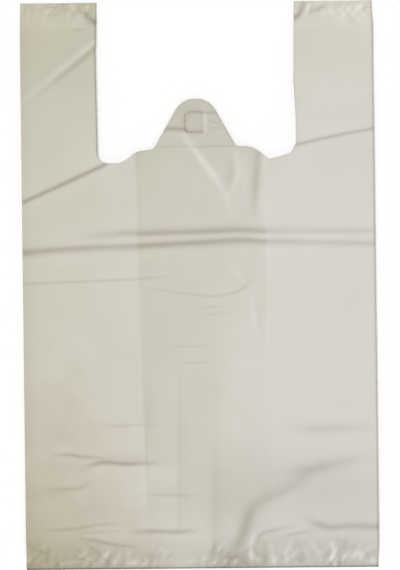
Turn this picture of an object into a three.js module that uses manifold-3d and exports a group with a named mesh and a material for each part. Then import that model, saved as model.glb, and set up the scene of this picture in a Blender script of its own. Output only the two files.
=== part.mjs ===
// Vest carrier bag of thin polyethylene film, lying flat and empty on its back panel.
// It is one blown tube of film: folded flat with a gusset pushed in at each side, welded across the
// bottom and across the top of each handle, then die cut at the mouth into two handles and a tab.
// Millimetres. X runs across the bag, Y up the bag towards the handles, Z out of the front panel.
// The origin lies under the middle of the bag, on the surface that the bag lies on.
import * as THREE from "three";
import { mergeVertices } from "three/addons/utils/BufferGeometryUtils.js";
import Module from "manifold-3d";

// Driving dimensions of the folded tube
const BAG_WIDTH = 300; // side fold to side fold
const BAG_HEIGHT = 480; // bottom weld to handle tops
const GUSSET_DEPTH = 95; // side fold to inner fold
const FILM = 0.5; // drawn thicker than the real film, which is about 0.02
const PLY_GAP = 0.5; // air between plies that lie folded on each other
const MIDDLE_GAP = 5.2; // air between front and back in the middle, where the film lies slack
const RISE_RUN = 18; // the front rises off the gusset to the middle over this distance

// Driving dimensions of the welds
const WELD = 3; // width of a weld
const WELD_RAMP = 24; // the plies part to their full gap over this distance
const WELD_OPEN = 0.3; // share of the full gap where the plies leave the weld

// Driving dimensions of the die cut mouth
const HANDLE_WIDTH = 65.5;
const HANDLE_LENGTH = 136; // handle top to notch floor
const DIE_OFFSET = -1.5; // the die lands a little to the left of the middle
const SHOULDER_RISE = 12; // shoulder above notch floor
const SHOULDER_LENGTH = 13.5; // along the shoulder, from the tab's foot
const NOTCH_FLOOR = 20; // length of a notch's floor, from the handle inwards
const NOTCH_ROUND = 8; // rounding where the notch meets the handle
const TOE_ROUND = 10; // rounding where the notch's floor meets the slope to the shoulder
const RIGHT_LIFT = 9; // the right notch's floor is drawn up this far at the handle
const RIGHT_TOE_RISE = 2;
const RIGHT_TOE_ROUND = 1.5;
const TAB_HEIGHT = 41.5; // above the shoulder
const TAB_TOP_HALF = 10.5;
const TAB_FOOT_HALF = 35;
const TAB_ROUND = 11;
const FOOT_ROUND = 8;
const CURVE_STEPS = 5; // straight steps to each rounded corner

// Driving dimensions of the hanging hole, whose flap stays in place, and of the tear line
const HOLE_WIDTH = 16;
const HOLE_HEIGHT = 17;
const HOLE_RISE = 13; // hole's lower edge above the shoulder
const HOLE_OFFSET = -1.5; // hole's middle from the tab's middle
const HOLE_ROUND = 6;
const SLIT = 0.8; // width of the hole's cut
const TEAR_RISE = 1.5; // tear line above the shoulder
const TEAR_SLIT = 3.4;
const TEAR_TIE = 2.4;
const TEAR_WIDTH = 0.5;

// Driving dimensions of creases and gathers, which each one takes its own share of
const CREASE_HEIGHT = 1.2;
const CREASE_WIDTH = 7;
const CREST_WIDTH = 0.8;
const GATHER_HEIGHT = 1.1;
const GATHER_WIDTH = 6;
const GATHER_LENGTH = 26;

// How deep a joined or cut shape reaches past the surface that it works on
const SINK = 0.2;
const DIP = 0.08;
const PAST = 20;

// Places worked out from the driving dimensions
const HALF_WIDTH = BAG_WIDTH / 2;
const HALF_HEIGHT = BAG_HEIGHT / 2;
const INNER_FOLD = HALF_WIDTH - GUSSET_DEPTH;
const MIDDLE_HALF = INNER_FOLD - RISE_RUN;
const MOUTH_HALF = HALF_WIDTH - HANDLE_WIDTH;
const NOTCH_Y = HALF_HEIGHT - HANDLE_LENGTH;
const SHOULDER_Y = NOTCH_Y + SHOULDER_RISE;
const WELD_Y = HALF_HEIGHT - WELD;
const RAMP_Y = WELD_Y - WELD_RAMP;
const FOLD_STEPS = 3;

const FILM_COLOUR = 0xcecaba;
const FILM_ROUGHNESS = 0.42;

const { MathUtils, Vector2, Vector3 } = THREE;
const wasm = await Module();
wasm.setup();

// Solids

function solidOf(geometry) {
  const bare = new THREE.BufferGeometry();
  bare.setAttribute("position", geometry.getAttribute("position"));
  bare.setIndex(geometry.getIndex());
  const merged = mergeVertices(bare, 1e-5);
  const mesh = new wasm.Mesh({
    numProp: 3,
    vertProperties: merged.getAttribute("position").array,
    triVerts: new Uint32Array(merged.getIndex().array),
  });
  return new wasm.Manifold(mesh);
}

const joined = (solids) => solids.reduce((all, one) => all.add(one));

function geometryOf(solid) {
  const mesh = solid.getMesh();
  const geometry = new THREE.BufferGeometry();
  geometry.setAttribute("position", new THREE.BufferAttribute(mesh.vertProperties, 3));
  geometry.setIndex(new THREE.BufferAttribute(mesh.triVerts, 1));
  return geometry;
}

// Closed solid through a row of sections. Each section is one loop of points, counter-clockwise as
// seen from behind the first section, and profile gives the first section in its own plane.
function loft(sections, profile) {
  const count = sections[0].length;
  const last = (sections.length - 1) * count;
  const index = [];
  for (let s = 0; s < sections.length - 1; s++) {
    for (let i = 0; i < count; i++) {
      const a = s * count + i;
      const b = s * count + ((i + 1) % count);
      index.push(a, b + count, b, a, a + count, b + count);
    }
  }
  for (const [i, j, k] of THREE.ShapeUtils.triangulateShape(profile, [])) {
    const turn = profile[j].clone().sub(profile[i]).cross(profile[k].clone().sub(profile[i]));
    const [p, q, r] = turn > 0 ? [i, j, k] : [i, k, j];
    index.push(p, q, r, last + p, last + r, last + q);
  }
  const geometry = new THREE.BufferGeometry().setFromPoints(sections.flat());
  geometry.setIndex(index);
  return solidOf(geometry);
}

// Prism of an outline, through all plies
function punch(shape) {
  const geometry = new THREE.ExtrudeGeometry(shape, {
    depth: 2 * PAST,
    bevelEnabled: false,
    curveSegments: CURVE_STEPS,
  });
  return solidOf(geometry.translate(0, 0, -PAST));
}

// Folded tube

// Share of the full gap between plies: none at a weld's outer edge, all of it past the ramp
function openness(y) {
  const inward = HALF_HEIGHT - Math.abs(y);
  if (inward < WELD) return (WELD_OPEN * inward) / WELD;
  return MathUtils.lerp(WELD_OPEN, 1, Math.min(1, (inward - WELD) / WELD_RAMP));
}

// Heights in the stack of plies at one place up the bag
function stackAt(y) {
  const open = openness(y);
  const gap = PLY_GAP * open;
  return {
    gap,
    fold: FILM + gap / 2,
    sideTop: 4 * FILM + 3 * gap,
    middleTop: 2 * FILM + MIDDLE_GAP * open,
  };
}

function frontTop(x, y) {
  const { sideTop, middleTop } = stackAt(y);
  const outward = MathUtils.clamp((Math.abs(x) - MIDDLE_HALF) / RISE_RUN, 0, 1);
  return MathUtils.lerp(middleTop, sideTop, outward);
}

// Points of a fold's round, from one angle to another, in degrees
function round(x, z, radius, from, to) {
  const points = [];
  for (let i = 0; i <= FOLD_STEPS; i++) {
    const angle = MathUtils.degToRad(MathUtils.lerp(from, to, i / FOLD_STEPS));
    points.push(new Vector2(x + radius * Math.cos(angle), z + radius * Math.sin(angle)));
  }
  return points;
}

const mirrored = (points) => points.map((p) => new Vector2(-p.x, p.y)).reverse();

// Outside of the flat tube, with its side pockets still filled
function outsideProfile(y) {
  const { fold, sideTop, middleTop } = stackAt(y);
  const x = HALF_WIDTH - fold;
  const right = [
    ...round(x, fold, fold, -90, 0),
    ...round(x, sideTop - fold, fold, 0, 90),
    new Vector2(INNER_FOLD, sideTop),
    new Vector2(MIDDLE_HALF, middleTop),
  ];
  return [...right, ...mirrored(right)];
}

// Space inside the bag: between the panels, and between each panel and its gusset plies
function insideProfile(y) {
  const { gap, fold, sideTop, middleTop } = stackAt(y);
  const end = HALF_WIDTH - FILM - gap / 2;
  const lowerUnder = FILM + gap;
  const upperTop = lowerUnder + 2 * fold;
  const right = [
    ...round(end, FILM + gap / 2, gap / 2, -90, 90),
    ...round(INNER_FOLD + fold, lowerUnder + fold, fold, 270, 90),
    ...round(end, upperTop + gap / 2, gap / 2, -90, 90),
    new Vector2(INNER_FOLD, sideTop - FILM),
    new Vector2(MIDDLE_HALF, middleTop - FILM),
  ];
  return [...right, ...mirrored(right)];
}

// Pocket between the two plies of the right gusset, open at the side between the two round folds
function pocketProfile(y) {
  const { gap, fold, sideTop } = stackAt(y);
  const x = HALF_WIDTH - fold;
  const deep = INNER_FOLD + FILM + gap / 2;
  const middle = sideTop / 2;
  return [
    new Vector2(HALF_WIDTH + PAST, fold),
    new Vector2(HALF_WIDTH + PAST, sideTop - fold),
    ...round(x, sideTop - fold, fold, 0, -90),
    ...round(deep, middle, gap / 2, 90, 270),
    ...round(x, fold, fold, 90, 0),
  ];
}

function loftUpBag(profileAt, rows) {
  const section = (y) => profileAt(y).map((p) => new Vector3(p.x, y, p.y));
  return loft(rows.map(section), profileAt(rows[0]));
}

const OPEN_ROWS = [-WELD_Y, -RAMP_Y, RAMP_Y, WELD_Y];
const ALL_ROWS = [-HALF_HEIGHT, ...OPEN_ROWS, HALF_HEIGHT];

// Creases and gathers

// A crease is a low standing pleat of the front panel. Its path gives places on the panel, across
// from -1 at the left side fold to 1 at the right, up from -1 at the bottom to 1 at the handle tops,
// and how much of the crease's height stands there.
function placed(across, up, share) {
  return new Vector3(across * HALF_WIDTH, up * HALF_HEIGHT, share);
}

// Stations along a path, with one wherever it crosses a bend line of the panel
function stationsOf(path, steps) {
  const points = new THREE.CatmullRomCurve3(path).getPoints(steps * (path.length - 1));
  const bends = [
    ...[-INNER_FOLD, -MIDDLE_HALF, MIDDLE_HALF, INNER_FOLD].map((at) => ["x", at]),
    ...[-RAMP_Y, RAMP_Y].map((at) => ["y", at]),
  ];
  const stations = [];
  points.forEach((point, i) => {
    stations.push(point);
    const next = points[i + 1];
    if (!next) return;
    const crossings = bends
      .map(([axis, at]) => (at - point[axis]) / (next[axis] - point[axis]))
      .filter((share) => share > 0.02 && share < 0.98)
      .sort((a, b) => a - b);
    crossings.forEach((share) => stations.push(point.clone().lerp(next, share)));
  });
  return stations;
}

// Rows of trapezium sections along stations. top, topHalf and baseHalf follow from the height that
// stands at a station, and base is how far the section starts under the panel's top.
function pleat(stations, base, sectionAt) {
  const sections = stations.map((station, i) => {
    const before = stations[Math.max(0, i - 1)];
    const after = stations[Math.min(stations.length - 1, i + 1)];
    const ahead = new Vector2(after.x - before.x, after.y - before.y).normalize();
    const { top, topHalf, baseHalf } = sectionAt(station.z);
    const level = frontTop(station.x, station.y);
    const corner = (left, z) =>
      new Vector3(station.x - ahead.y * left, station.y + ahead.x * left, level + z);
    return [
      corner(baseHalf, -base),
      corner(-baseHalf, -base),
      corner(-topHalf, top),
      corner(topHalf, top),
    ];
  });
  const profile = [[-2, 0], [2, 0], [1, 1], [-1, 1]].map(([x, y]) => new Vector2(x, y));
  return loft(sections, profile);
}

// The film of a crease: what stands over the panel, and the hollow that it leaves under itself
function crease(path, { height = 1, width = 1, crest = 1, steps = 2 } = {}) {
  const stations = stationsOf(path, steps);
  const full = CREASE_HEIGHT * height;
  const crestHalf = (CREST_WIDTH * crest) / 2;
  const slope = full / ((CREASE_WIDTH * width) / 2 - crestHalf);
  const slant = FILM * Math.hypot(1, slope);
  const outer = (share) => {
    const top = full * share - SINK * 0.5 * (1 - share);
    return { top, topHalf: crestHalf, baseHalf: crestHalf + (top + SINK) / slope };
  };
  const inner = (share) => {
    const top = Math.max(full * share - FILM, -FILM - DIP / 2);
    const topHalf = crestHalf + (FILM - slant) / slope;
    return { top, topHalf, baseHalf: topHalf + (top + FILM + DIP) / slope };
  };
  return {
    film: pleat(stations, SINK, outer),
    hollow: pleat(stations, FILM + DIP, inner),
  };
}

// Gathers that fan out from a weld, evenly between two places across the bag. way is 1 where the
// bag lies above the weld and -1 where it lies below, and lean turns them towards the right.
function gathers({ from, to, count, way, lean, height }) {
  return Array.from({ length: count }, (_, i) => {
    const across = MathUtils.lerp(from, to, i / (count - 1));
    const reach = GATHER_LENGTH * (i % 2 === 0 ? 1 : 0.62);
    const start = -way * (WELD_Y - 1);
    const path = [0, 0.35, 1].map((share) => {
      const x = across * HALF_WIDTH + lean * share * reach;
      const stands = share === 0.35 ? 1 : 0;
      return new Vector3(x, start + way * share * reach, stands);
    });
    return crease(path, {
      height: (GATHER_HEIGHT / CREASE_HEIGHT) * height,
      width: GATHER_WIDTH / CREASE_WIDTH,
      steps: 1,
    });
  });
}

const path = (...places) => places.map((place) => placed(...place));

const CREASES = [
  // fold line of the packed bag, right across below the mouth
  crease(
    path(
      [-0.985, 0.137, 0.5],
      [-0.56, 0.153, 0.8],
      [-0.2, 0.168, 1],
      [0.23, 0.178, 1],
      [0.36, 0.17, 0.8],
      [0.985, 0.16, 0.5],
    ),
    { height: 1.6, width: 2, crest: 4 },
  ),
  // left handle
  crease(path([-0.98, 0.66, 0], [-0.78, 0.757, 0.9], [-0.54, 0.87, 1]), { width: 1.3 }),
  crease(path([-0.985, 0.302, 0.3], [-0.75, 0.37, 1], [-0.5, 0.445, 1])),
  // right handle
  crease(path([0.53, 0.49, 1], [0.75, 0.52, 1], [0.985, 0.552, 0.2])),
  // below the tab
  crease(path([-0.1, 0.53, 0.1], [0.03, 0.43, 1], [0.15, 0.336, 1], [0.22, 0.23, 0])),
  crease(path([0.21, 0.46, 0.2], [0.235, 0.39, 1], [0.19, 0.315, 0]), { height: 0.8, width: 0.8 }),
  // middle
  crease(path([-0.985, 0.008, 0.2], [-0.6, 0.014, 1], [-0.17, 0.033, 0]), { height: 0.7 }),
  crease(path([-0.28, -0.016, 0], [0, -0.036, 1], [0.16, -0.03, 1], [0.28, 0.012, 0])),
  crease(path([-0.13, -0.21, 0], [-0.14, -0.5, 1], [-0.15, -0.85, 0]), { height: 0.6 }),
  crease(path([0.07, -0.23, 0], [0.06, -0.6, 1], [0.05, -0.92, 0]), { height: 0.6 }),
  // lower left
  crease(path([-0.84, -0.592, 0], [-0.7, -0.598, 1], [-0.56, -0.608, 0])),
  crease(path([-0.64, -0.63, 0], [-0.5, -0.62, 1], [-0.22, -0.62, 0])),
  crease(path([-0.87, -0.855, 0], [-0.65, -0.848, 1], [-0.43, -0.842, 0]), { height: 0.8 }),
  crease(path([-0.38, -0.868, 0], [-0.22, -0.866, 1], [-0.06, -0.866, 0]), { height: 0.8 }),
  // lower right
  crease(path([0.5, -0.504, 0], [0.7, -0.5, 1], [0.91, -0.506, 0]), { height: 0.6, width: 1.3 }),
  crease(path([0.19, -0.9, 0], [0.26, -0.8, 1], [0.38, -0.735, 1], [0.58, -0.69, 0]), {
    width: 1.6,
    steps: 3,
  }),
  crease(path([0.44, -0.662, 0], [0.6, -0.64, 1], [0.77, -0.626, 0]), { height: 0.8, width: 1.3 }),
  crease(path([0.62, -0.842, 0], [0.76, -0.857, 1], [0.985, -0.862, 0.5]), { width: 1.3 }),
  // at the welds
  ...gathers({ from: -0.96, to: -0.32, count: 9, way: 1, lean: 0.25, height: 0.9 }),
  ...gathers({ from: 0.12, to: 0.84, count: 11, way: 1, lean: 0.1, height: 1 }),
  ...gathers({ from: -0.84, to: -0.6, count: 4, way: -1, lean: -0.2, height: 0.8 }),
  ...gathers({ from: 0.61, to: 0.95, count: 6, way: -1, lean: 0.35, height: 0.9 }),
];

// Die cuts

// Appends straight runs with rounded corners to a path. Each corner is [x, y, rounding].
function roundedRun(run, corners) {
  const at = ([x, y]) => new Vector2(x, y);
  corners.slice(1, -1).forEach((corner, i) => {
    const turn = at(corner);
    const back = at(corners[i]).sub(turn);
    const on = at(corners[i + 2]).sub(turn);
    const length = Math.min(corner[2], 0.48 * back.length(), 0.48 * on.length());
    const start = turn.clone().add(back.setLength(length));
    const end = turn.clone().add(on.setLength(length));
    run.lineTo(start.x, start.y);
    run.quadraticCurveTo(turn.x, turn.y, end.x, end.y);
  });
  run.lineTo(...corners.at(-1));
}

// One side of the mouth's edge, from the middle of the tab out to the handle and up past its top
function mouthSide(lift, toeRise, toeRound) {
  const tabTop = SHOULDER_Y + TAB_HEIGHT;
  const edge = new THREE.Path();
  edge.moveTo(0, tabTop);
  roundedRun(edge, [
    [0, tabTop],
    [TAB_TOP_HALF, tabTop, TAB_ROUND],
    [TAB_FOOT_HALF, SHOULDER_Y, FOOT_ROUND],
    [TAB_FOOT_HALF + SHOULDER_LENGTH, SHOULDER_Y, NOTCH_ROUND],
    [MOUTH_HALF - NOTCH_FLOOR, NOTCH_Y + toeRise, toeRound],
    [MOUTH_HALF, NOTCH_Y + lift, NOTCH_ROUND],
    [MOUTH_HALF, HALF_HEIGHT + PAST],
  ]);
  return edge.getPoints(CURVE_STEPS);
}

function mouthCut() {
  const right = mouthSide(RIGHT_LIFT, RIGHT_TOE_RISE, RIGHT_TOE_ROUND);
  const left = mirrored(mouthSide(0, 0, TOE_ROUND)).slice(0, -1);
  return punch(new THREE.Shape([...left, ...right])).translate(DIE_OFFSET, 0, 0);
}

// Slit round three sides of the hanging hole. Its flap stays joined along the right side.
function holeCut() {
  const bottom = SHOULDER_Y + HOLE_RISE;
  const half = HOLE_WIDTH / 2;
  const outline = (inset) => {
    const edge = new THREE.Path();
    const [low, high] = [bottom + inset, bottom + HOLE_HEIGHT - inset];
    edge.moveTo(half, high);
    roundedRun(edge, [
      [half, high],
      [inset - half, high, HOLE_ROUND - inset],
      [inset - half, low, SLIT * 2],
      [half, low],
    ]);
    return edge.getPoints(CURVE_STEPS);
  };
  const slit = new THREE.Shape([...outline(0), ...outline(SLIT).reverse()]);
  return punch(slit).translate(DIE_OFFSET + HOLE_OFFSET, 0, 0);
}

// Row of short slits along which the tab tears off
function tearCuts() {
  const pitch = TEAR_SLIT + TEAR_TIE;
  const count = Math.floor((2 * TAB_FOOT_HALF - TEAR_TIE) / pitch);
  return Array.from({ length: count }, (_, i) => {
    const x = DIE_OFFSET + (i - (count - 1) / 2) * pitch;
    const slit = new THREE.BoxGeometry(TEAR_SLIT, TEAR_WIDTH, PAST);
    return solidOf(slit.translate(x, SHOULDER_Y + TEAR_RISE, 0));
  });
}

// Bag

function carrierBag() {
  const pocket = loftUpBag(pocketProfile, OPEN_ROWS);
  const film = joined([
    loftUpBag(outsideProfile, ALL_ROWS),
    ...CREASES.map((one) => one.film),
  ]);
  const hollow = joined([
    loftUpBag(insideProfile, OPEN_ROWS),
    pocket,
    pocket.mirror([1, 0, 0]),
    ...CREASES.map((one) => one.hollow),
  ]);
  const cuts = joined([mouthCut(), holeCut(), ...tearCuts()]);
  return film.subtract(hollow).subtract(cuts);
}

const material = new THREE.MeshStandardMaterial({
  color: FILM_COLOUR,
  roughness: FILM_ROUGHNESS,
  metalness: 0,
  flatShading: true,
});
const bag = new THREE.Mesh(geometryOf(carrierBag()), material);
bag.name = "carrier_bag";

const part = new THREE.Group();
part.add(bag);
export default part;
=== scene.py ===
"""A flat, empty vest carrier bag of thin milky film, seen from straight above.

The film is one folded sheet: a front panel, a back panel and two gusset plies on each side, joined
by half-round folds. Lengths here are in millimetres in the bag's own frame (+X to the right, +Y up
the bag, +Z out of the front panel), and become metres when the mesh is made.
"""

import math
import random
from typing import NamedTuple

import bpy
import numpy as np
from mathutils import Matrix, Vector, kdtree, noise
from mathutils.geometry import delaunay_2d_cdt


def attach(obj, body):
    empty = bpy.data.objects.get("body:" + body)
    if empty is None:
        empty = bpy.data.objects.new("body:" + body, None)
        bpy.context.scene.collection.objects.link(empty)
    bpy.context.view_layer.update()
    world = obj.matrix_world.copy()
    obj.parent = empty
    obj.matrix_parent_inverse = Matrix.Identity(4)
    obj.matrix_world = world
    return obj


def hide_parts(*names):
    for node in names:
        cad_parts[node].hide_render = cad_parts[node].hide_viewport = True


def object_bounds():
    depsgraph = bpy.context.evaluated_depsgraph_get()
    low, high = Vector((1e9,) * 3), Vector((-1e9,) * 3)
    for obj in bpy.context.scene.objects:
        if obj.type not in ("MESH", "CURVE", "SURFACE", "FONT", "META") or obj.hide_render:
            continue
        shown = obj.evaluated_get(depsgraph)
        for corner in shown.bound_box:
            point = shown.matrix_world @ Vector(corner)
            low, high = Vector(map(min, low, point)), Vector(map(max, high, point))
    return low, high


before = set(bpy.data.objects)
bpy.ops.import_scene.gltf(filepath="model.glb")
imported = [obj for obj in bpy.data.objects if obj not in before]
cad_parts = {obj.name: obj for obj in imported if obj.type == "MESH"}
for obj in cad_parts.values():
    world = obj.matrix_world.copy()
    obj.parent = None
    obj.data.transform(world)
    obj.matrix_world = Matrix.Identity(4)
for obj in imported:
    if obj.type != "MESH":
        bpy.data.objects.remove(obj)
CAD_LOW, CAD_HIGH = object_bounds()

# Bag
MM = 0.001
HALF_WIDTH = (CAD_HIGH.x - CAD_LOW.x) / 2 / MM
HALF_HEIGHT = (CAD_HIGH.y - CAD_LOW.y) / 2 / MM
GUSSET_DEPTH = 95.0
INNER_FOLD = HALF_WIDTH - GUSSET_DEPTH
FILM_THICKNESS = 0.12

# How far the outer folds lie inside the solid's sides, and where that puts the film's edge
SIDE_INSET = 0.65
EDGE = HALF_WIDTH - SIDE_INSET

# Lie of the plies: the gap between them, the loft of the middle, the crown of the sides, the flat welded
# ends, the droop of the tab and the bag's lean to the left
PLY_GAP = 1.0
LEAST_PLY_GAP = 0.14
REST_GAP = 0.08
MIDDLE_LOFT = 1.2
MIDDLE_REACH = INNER_FOLD + 6.0
CROWN = 0.25
CROWN_X = 102.0
CROWN_HALF = 48.0
WELD_GAP = 0.14
WELD_RAMP = 26.0
FOLD_REACH = 0.5
FOLD_STEPS = 5
TAB_DROOP = 0.45
TAB_DROOP_Y = (100.0, 145.0)
TAB_DROOP_SIDE = 10.0
LEAN = 0.0028

# How much of the creases shows in each ply, from the back panel to the front one, and at a weld
PLY_SHARES = (0.3, 0.5, 0.75, 1.0)
BACK, LOWER, UPPER, FRONT = range(4)
WELDED_SHARE = 0.35
WELDED_FRONT_SHARE = 0.5

# Slow waves, middling ones and the small unevenness that handling leaves: width, height and seed
WAVES = ((70, 0.45, 1.0), (28, 0.16, 5.0), (11, 0.05, 9.0))

# Wrinkles by the welds: their height, the shade painted into their hollows and the highlight painted on
# their crests, and the chance shapes that make them, each with its widths across and along the bag and
# its seed
WRINKLE_HEIGHT = 2.0
WRINKLE_PAINTED_LIGHT = 0.19
WRINKLE_LEVEL = 0.3
UPRIGHT_SHARE = 1.8
UPRIGHT_WIDE = (7, 15)
UPRIGHT_SEED = 21.0
SLANT = np.array([(0.8, 0.6), (-0.6, 0.8)])
SLANTING_SHARE = 1.3
SLANTING_WIDE = (5, 11)
SLANTING_SEED = 33.0
UNEVEN_WIDE = (26, 26)
UNEVEN_SEED = 44.0

# How far the wrinkles reach from a weld and how large they are, where they swell and shrink over the bottom
# one, and the calm stretch near the middle
WELD_BAND = 3.0
BOTTOM_REACH = 20.0
BOTTOM_REACH_SWING = 18.0
BOTTOM_SIZE_SWING = 0.9
TOP_REACH = 12.0
TOP_SIZE = 0.4
CALM_X = -16.0
CALM_REACH = 24.0
CALM_SHARE = 0.8

# Mesh spacing: along the sides, the cut edges, the creases and the hole, in the open film and, finer, in
# the tab and by the welds, and everywhere in the hidden plies
SIDE_STEP = 3.0
EDGE_STEP = 2.0
ROW_STEP = 2.2
HOLE_STEP = 1.4
OPEN_STEP = 5.0
FINE_STEP = 1.7
COARSE_STEP = 7.0
COARSE_EDGE_STEP = 3.0
COARSE_ROW_STEP = 6.0
LEAST_GAP = 0.45

# Steps along a crease, and how many of its reaches away from its line it still counts
CREASE_STEP = 4.0
CREASE_SPAN = 4

# Rows of points beside a crease or an edge, as shares of the crease's half width or as millimetres
ROW_OFFSETS = (0, 0.4, -0.4, 0.9, -0.9, 1.7, -1.7, 2.9, -2.9)
COARSE_ROW_OFFSETS = (0, 1.2, -1.2, 2.6, -2.6)
HEM_OFFSETS = (0.5, -0.5, 1.4, -1.4)
LEAST_ROW_SCALE = 1.2
EDGE_INSETS = (0.8, 1.8)
SIDE_ROW_STEP = 2.5
EDGE_CLEARANCE = 0.6
COARSE_CLEARANCE = 2.0

# Net between the rows: its finer parts, its chance shifts, and how near a row its points may come
FINE_TAB_X = (-43.0, 37.0)
FINE_TAB_Y = (110.0, 160.0)
FINE_BOTTOM = 30.0
FINE_TOP = 24.0
NET_SHIFT = 0.2
NET_SEED = 17
FINE_GAP = 0.62 * FINE_STEP
COARSE_GAP = 0.5 * COARSE_STEP

# Points this close to one another count as one, and points this close to an edge as on it
TOUCHING = 1e-6
ON_EDGE = 1e-4

# Mouth, as corners with the radius of each: from the left handle's inner edge to the right one's
MOUTH = [
    (-84.2, HALF_HEIGHT, 0),
    (-86.0, 200.0, 60),
    (-85.2, 104.0, 12),
    (-65.0, 103.8, 14),
    (-51.2, 113.8, 14),
    (-37.4, 115.2, 4),
    (-13.1, 157.9, 22),
    (10.0, 157.9, 22),
    (32.4, 117.4, 4),
    (46.4, 117.4, 22),
    (60.6, 106.2, 1.5),
    (78.5, 111.2, 8),
    (83.4, 119.0, 8),
    (83.5, 140.0, 30),
    (81.8, 172.0, 60),
    (82.9, HALF_HEIGHT, 0),
]

# Hanging hole in the tab, cut on three sides, and the height of the tear line below it
HOLE_LEFT = -10.6
HOLE_RIGHT = 4.2
HOLE_LOW = 129.4
HOLE_HIGH = 146.4
HOLE_ROUND = 5.0
LOW_HOLE_ROUND = 3.0
SLIT = 0.04
FLAP_INSET = 0.036
FLAP_LIFT = 0.03
TEAR_Y = 117.2


class Crease(NamedTuple):
    """A line in the film through (x, y, share) places, or (x, y) where it shows in full.

    A step's right-hand side, as seen along the line, stands above its left by twice the rise, over a
    slope of about twice the run, and both sides come back to the film's level within the reach. A ridge
    rises to a sharp crest and a swell to a round one, and either is a valley where the rise is below
    zero. shade is painted shade, the light that the film's colour loses on the line; below zero it is a
    painted highlight, partly the film's own whitening under stress. The field after it is the half width
    of that painted tone.
    """

    path: list
    rise: float
    reach: float
    shade: float = 0.0
    shade_width: float = 1.6
    form: str = "step"
    run: float = 1.4


def swell(*values):
    return Crease(*values, form="swell")


def ridge(*values):
    return Crease(*values, form="ridge")


MAIN_FOLD = [
    # The fold that crosses the whole bag: a crest between two troughs, darkest in the middle
    Crease([(-92, 41.2, 0.15), (-66, 43.6, 0.55), (-56, 44, 0.6), (-51, 43.8, 0.9), (1, 44.9), (35, 45.8),
        (56, 45, 0.9), (60, 44.8, 0.45), (129, 44.3, 0.45), (149, 44.2, 0.25)],
        -0.6, 5, 0.22, 2.8, run=2.2),
    Crease([(-149, 28.7, 0.9), (-118, 31.2, 0.9), (-84, 33, 0.8), (-54, 33.7, 0.7), (-50, 33.9), (1, 36.3),
        (35, 38), (56, 36.4), (61, 36.6, 0.6), (149, 34.2, 0.5)], -0.8, 6, 0.2, 2.5, run=2.2),
    # The soft shade above the upper trough, above the left of the lower one and below that one
    swell([(-110, 41, 0.2), (-70, 45.6, 0.5), (-50, 47, 0.7), (1, 48, 0.9), (35, 49), (56, 48, 0.6),
        (149, 46.6, 0.3)], -0.1, 6, 0.12, 3),
    swell([(-149, 31.6, 0.6), (-118, 34, 0.5), (-84, 36, 0.3)], -0.2, 7, 0.08, 3.6),
    swell([(-149, 25.8), (-84, 30, 0.9), (1, 33.4), (35, 34.8), (61, 33.4, 0.5), (149, 31.2, 0.4)],
        -0.1, 7, 0.12, 2.6),
    # The crest
    swell([(-60, 39.6, 0.2), (1, 41.4), (35, 42.4), (58, 41, 0.6), (149, 39.4, 0.3)], 0.2, 3, 0.015, 1.6),
]

HANDLE_CREASES = [
    # Slanting folds across the handles
    Crease([(-149, 149, 0), (-128, 166.4, 0.1), (-107, 183.4, 0.8), (-91, 197), (-85, 202)],
        -0.45, 6, 0.1, 2.2, run=2),
    swell([(-149, 154.6, 0.5), (-130, 170.6, 0.7), (-109.6, 187.2, 0.9), (-93, 199.8), (-85, 206)],
        0.2, 3, -0.095, 2),
    swell([(-149, 160.6, 0.4), (-130, 176.8, 0.6), (-113, 191.2, 0.8), (-97, 204.4), (-85, 213)],
        -0.1, 3, 0.05, 2.6),
    Crease([(-149, 71, 0.9), (-112, 87.5), (-79, 102.4)], -0.6, 5, 0.28, 2),
    Crease([(83, 117.8), (115, 125), (149, 131.2, 0.9)], -0.4, 5, 0.18, 1.6),
]

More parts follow.
